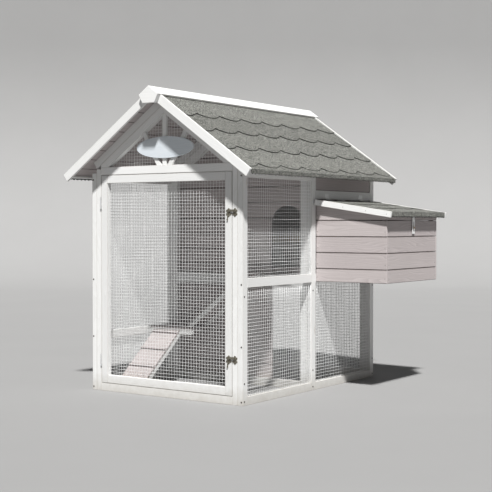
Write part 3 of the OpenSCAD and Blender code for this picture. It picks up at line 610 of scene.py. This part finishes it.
def felt_piece(node, place, fall, top, bottom, cusps, thick, lip):
    """Courses of shingles from top to bottom of a slope, in place of a CAD sheet.

    place(s, y, n) puts a point given down the slope, along y and above the deck, and fall is the slope's
    angle. Each entry of cusps is the line of one course's cusps. The lowest course hangs down by lip.
    """
    lo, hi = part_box(node)
    y0, y1 = lo.y - Y0, hi.y - Y0
    vertices, faces, tone, edge = [], [], [], []
    columns = int((y1 - y0) / COLUMN)
    ys = [y0 + (y1 - y0) * i / columns for i in range(columns + 1)]
    for k in range(len(cusps) + 1):
        last = k == len(cusps)
        start = top if k == 0 else cusps[k - 1] - OVERLAP
        shade = hashed((k + 0.3, y0, y1), 2)
        first = len(vertices)
        for y in ys:
            low = (bottom if last else cusps[k] + scallop(y)) + ragged(y, k + 1.0)
            for r in range(ROWS + 1):
                s = low if r == ROWS else start + (low - start - CUT_EDGE) * r / (ROWS - 1)
                t = (s - start) / (low - start)
                lift = 0.0006 * math.sin(y * 23 + s * 31 + k) * t
                vertices.append(place(s, y, 0.0008 + (thick - 0.0008) * t + lift))
                tone.append(shade)
                # The top's last strip darkens towards the cut edge: painted shade of the step
                edge.append(0.0 if last or r < ROWS - 1 else (0.12, 1.0)[r - ROWS + 1])
            if last:
                # The lowest course bends over the edge and hangs straight down; its bottom is darkened, the
                # dark bitumen of the cut edge and painted shade below it
                hang = lip + 2.4 * ragged(y, 7.0)
                out, down = hang * math.sin(fall), hang * math.cos(fall)
                under = ((low + 0.0006, thick - 0.0012, 0.0),
                         (low + 0.75 * out + 0.0010, thick - 0.75 * down, 0.05),
                         (low + out + 0.0004, thick - down, 1.0),
                         (low + out - 0.0026, thick - down + 0.0004, 1.0),
                         (low - 0.0026, 0.0002, 1.0), (start, 0.0001, 1.0))
            else:
                under = ((low + 0.0004, thick - 0.0012, 1.0), (low + 0.0004, thick - 0.0024, 1.0),
                         (low - 0.004, thick - 0.0030, 1.0), (low - 0.012, 0.0012, 1.0),
                         (low - 0.03, 0.0006, 1.0), (start, 0.0001, 1.0))
            for s, n, dark in under:
                vertices.append(place(s, y, n))
                tone.append(shade)
                edge.append(dark)
        step = ROWS + 1 + len(under)
        for i in range(columns):
            a, b = first + i * step, first + (i + 1) * step
            for r in range(step):
                q = (r + 1) % step
                faces.append((a + r, b + r, b + q, a + q))
        faces.append(tuple(first + r for r in range(step)))
        faces.append(tuple(first + columns * step + r for r in reversed(range(step))))
    piece = new_piece(node + "_shingles", vertices, faces, BODY_OF[node], "roof_felt", smooth=False,
                      values={"tone": tone, "edge": edge})
    bm = bmesh.new()
    bm.from_mesh(piece.data)
    bmesh.ops.recalc_face_normals(bm, faces=bm.faces)
    bm.to_mesh(piece.data)
    bm.free()
    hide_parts(node)


APEX = WALL_TOP + ROOF_HALF * math.tan(PITCH)
# How far the deck lies below the slope that passes through the apex
DECK_P = 0.009


def on_slope(side):
    """Puts points on the right (1) or left (-1) slope of the roof."""
    def place(s, y, n):
        p = DECK_P - n
        x = s * math.cos(PITCH) - p * math.sin(PITCH)
        z = APEX - s * math.sin(PITCH) - p * math.cos(PITCH)
        return Vector((side * x + X0, y + Y0, z))
    return place


for side, node in ((1, "right_felt"), (-1, "left_felt")):
    felt_piece(node, on_slope(side), PITCH, top=0.012, bottom=0.7584, cusps=(0.225, 0.373, 0.537, 0.697),
               thick=0.0056, lip=0.022)

# The lid's upper edge in the layout, its level width, and how wide a course of its felt is
LID_X0, LID_Z0, LID_WIDTH, LID_COURSE = 0.505, 1.045, 0.475, 0.150
# Where the deck lies, measured from the line that s runs along
LID_DECK = -0.004


def on_lid(s, y, n):
    """Point on the lid's deck: s from the wall, n above the deck."""
    n = n + LID_DECK
    return Vector((LID_X0 + s * math.cos(LID_FALL) + n * math.sin(LID_FALL) + X0, y + Y0,
                   LID_Z0 - s * math.sin(LID_FALL) + n * math.cos(LID_FALL)))


lid_s0 = 0.0085 / math.cos(LID_FALL)
lid_s1 = LID_WIDTH / math.cos(LID_FALL) - 0.0062
felt_piece("lid_felt", on_lid, LID_FALL, top=lid_s0, bottom=lid_s1,
           cusps=(lid_s0 + LID_COURSE, lid_s0 + 2 * LID_COURSE), thick=0.0038, lip=0.029)

# Nails: low domed heads on the planks and the lid's trims
NAIL_R = 0.0019
# How far a nail sits from the end of its plank
NAIL_INSET = 0.010


def nail(centre, outward, vertices, faces):
    """Adds a six-sided domed nail head at centre, standing out of the timber."""
    outward = Vector(outward)
    u = outward.orthogonal().normalized()
    v = outward.cross(u)
    first = len(vertices)
    for radius, rise in ((1.0, -0.0006), (1.0, 0.0003), (0.6, 0.0008)):
        for k in range(6):
            a = math.radians(60 * k)
            vertices.append(centre + NAIL_R * radius * (math.cos(a) * u + math.sin(a) * v) + rise * outward)
    for ring in (0, 6):
        for k in range(6):
            j = (k + 1) % 6
            faces.append((first + ring + k, first + ring + j, first + ring + 6 + j, first + ring + 6 + k))
    faces.append(tuple(first + 12 + k for k in range(6)))
    faces.append(tuple(first + k for k in reversed(range(6))))


def plank_nails(node, axis, way, vertices, faces):
    """A nail near both ends of each plank of a wall that faces along axis.

    way is 1 or -1 for the end of the axis it faces, or 0 for away from the middle of its own node.
    """
    co, island = islands_of(NODES[node].data)
    run = 1 - axis
    centre = (co.min(0) + co.max(0)) / 2
    for key in np.unique(island):
        lo, hi = co[island == key].min(0), co[island == key].max(0)
        if hi[run] - lo[run] < 3 * NAIL_INSET:
            continue
        face = way or (1 if (lo[axis] + hi[axis]) / 2 > centre[axis] else -1)
        outward = [0.0, 0.0, 0.0]
        outward[axis] = face
        for end in (lo[run] + NAIL_INSET, hi[run] - NAIL_INSET):
            spot = [0.0, 0.0, lo[2] + 0.5 * min(hi[2] - lo[2], 0.05)]
            spot[run] = end + 0.002 * (hashed(lo, end) - 0.5)
            spot[axis] = hi[axis] if face > 0 else lo[axis]
            nail(Vector(spot), outward, vertices, faces)


vertices, faces = [], []
for node, axis, way in (("nest_end_walls", 1, 0), ("nest_outer_wall", 0, 1),
                        ("house_right_wall", 0, 1), ("house_left_wall", 0, -1),
                        ("pop_hole_wall", 1, -1), ("lower_partition_planks", 1, -1)):
    plank_nails(node, axis, way, vertices, faces)
# The screw that holds the landing's front bearer
nail(Vector((-0.178 + X0, 0.454 + Y0, 0.292)), (0, -1, 0), vertices, faces)
new_piece("wall_nails", vertices, faces, "coop", "zinc_fittings", DARK_SCREW)

vertices, faces = [], []
trim_lo, trim_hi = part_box("lid_trim")
for s in (0.045, 0.190, 0.330, 0.455):
    for y, side in ((trim_lo.y, -1), (trim_hi.y, 1)):
        spot = on_lid(s, 0, -0.013)
        nail(Vector((spot.x, y, spot.z)), (0, side, 0), vertices, faces)
new_piece("lid_nails", vertices, faces, "nest_lid", "zinc_fittings", DARK_SCREW)

# ------------------------------------------------------------------ stage, light and camera

middle = (cad_lo + cad_hi) / 2
# Which way the camera looks: turned left from straight back, and tipped down from level
HEADING, TIPPED = math.radians(35.0), math.radians(1.13)


def stage_piece(name, vertices, faces, noise_scale, detail, tones, rough):
    """Makes a smooth, nearly plain surface that isn't part of the coop."""
    mesh = bpy.data.meshes.new(name)
    mesh.from_pydata([tuple(v) for v in vertices], [], faces)
    mesh.polygons.foreach_set("use_smooth", [True] * len(mesh.polygons))
    g = Graph(name)
    tone = g.noise(g.position(), noise_scale, detail)
    colour = g.ramp(tone, (0.2, tones[0]), (0.8, tones[1]))
    mesh.materials.append(g.finish(colour, rough, Specular_IOR_Level=0.1))
    obj = bpy.data.objects.new(name, mesh)
    bpy.context.scene.collection.objects.link(obj)


def backdrop():
    """Wide pale floor that curves up into a wall far behind the coop."""
    near, flat, curve, top, half_width = -60.0, 9.0, 4.0, 14.0, 50.0
    profile = [(near, 0.0), (flat, 0.0)]
    for k in range(1, 13):
        a = math.radians(90 * k / 12)
        profile.append((flat + curve * math.sin(a), curve - curve * math.cos(a)))
    profile.append((flat + curve, top))
    turn = Matrix.Rotation(HEADING, 3, "Z")
    vertices = [turn @ Vector((x, y, z)) for x in (-half_width, half_width) for y, z in profile]
    n = len(profile)
    faces = [(i, n + i, n + i + 1, i + 1) for i in range(n - 1)]
    stage_piece("studio_floor", vertices, faces, 1.3, 3.0, (0.285, 0.295), 0.85)


def far_wall(radius, top, sides=96):
    """Low ring round the floor, so that no side view looks past its end."""
    angles = [2 * math.pi * k / sides for k in range(sides)]
    vertices = [(radius * math.cos(a), radius * math.sin(a), z) for z in (-0.5, top) for a in angles]
    faces = [(k, sides + k, sides + (k + 1) % sides, (k + 1) % sides) for k in range(sides)]
    stage_piece("far_wall", vertices, faces, 0.1, 2.0, (0.60, 0.62), 0.9)


def light(name, kind, direction, power, colour, **settings):
    """A lamp that shines on the coop from the given direction."""
    data = bpy.data.lights.new(name, kind)
    data.energy = power
    data.color = colour
    for key, value in settings.items():
        setattr(data, key, value)
    obj = bpy.data.objects.new(name, data)
    obj.location = middle + Vector(direction)
    obj.rotation_euler = (-Vector(direction)).to_track_quat("-Z", "Y").to_euler()
    bpy.context.scene.collection.objects.link(obj)


backdrop()
far_wall(48.0, 13.0)
light("key", "SUN", (3.2, -4.05, 7.37), 6.2, (1.0, 0.99, 0.975), angle=math.radians(3.5))
light("fill_left", "AREA", (-5.5, -4.0, 3.0), 8, (0.93, 0.96, 1.0), shape="DISK", size=4.0)
light("fill_right", "AREA", (6.0, 1.0, 3.2), 10, (0.95, 0.97, 1.0), shape="DISK", size=4.0)

world = bpy.data.worlds.new("studio")
world.use_nodes = True
sky = world.node_tree.nodes["Background"].inputs
sky["Color"].default_value = (0.83, 0.88, 0.95, 1)
sky["Strength"].default_value = 0.05
bpy.context.scene.world = world

camera_data = bpy.data.cameras.new("camera")
camera_data.lens = 82.26
camera_data.sensor_width = 36.0
camera = bpy.data.objects.new("camera", camera_data)
camera.location = (3.545, -5.231, 0.910)
forward = Vector((-math.sin(HEADING) * math.cos(TIPPED), math.cos(HEADING) * math.cos(TIPPED),
                  -math.sin(TIPPED)))
camera.rotation_euler = forward.to_track_quat("-Z", "Y").to_euler()
bpy.context.scene.collection.objects.link(camera)
bpy.context.scene.camera = camera
bpy.context.scene.view_settings.view_transform = "Standard"
